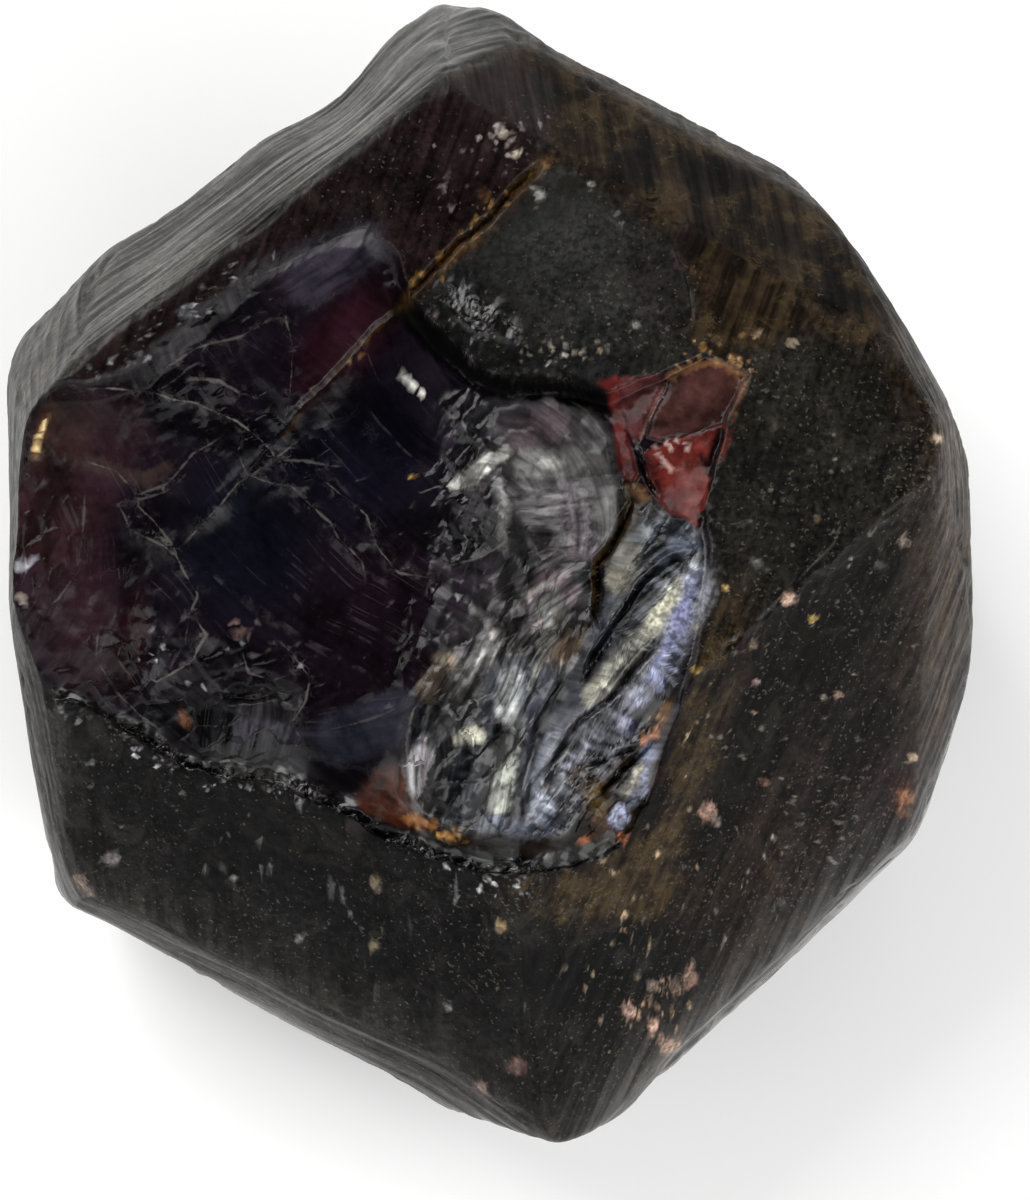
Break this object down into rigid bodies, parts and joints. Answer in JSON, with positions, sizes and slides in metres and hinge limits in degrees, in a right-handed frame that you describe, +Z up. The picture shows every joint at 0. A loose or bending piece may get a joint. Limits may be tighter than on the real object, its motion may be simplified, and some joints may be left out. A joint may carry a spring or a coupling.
{
  "type": "garnet crystal",
  "caption": "Dark almandine garnet crystal, a flattened dodecahedron with bevelled rims and a glassy conchoidal break over its top face.",
  "frame": {"origin": "centre of the bounding box's footprint, on the surface that the crystal rests on", "axes": "+Z up, out of the broken top face; +Y along the long diagonal of that face, towards the crystal's head; +X to the right"},
  "size_m": [0.029, 0.034, 0.0174],
  "materials": {
    "almandine_garnet": "near-black red garnet: worn satin crystal faces, glassy conchoidal break, rusty iron stains"
  },
  "bodies": {
    "root": {"garnet_crystal": "almandine_garnet"}
  },
  "joints": []
}
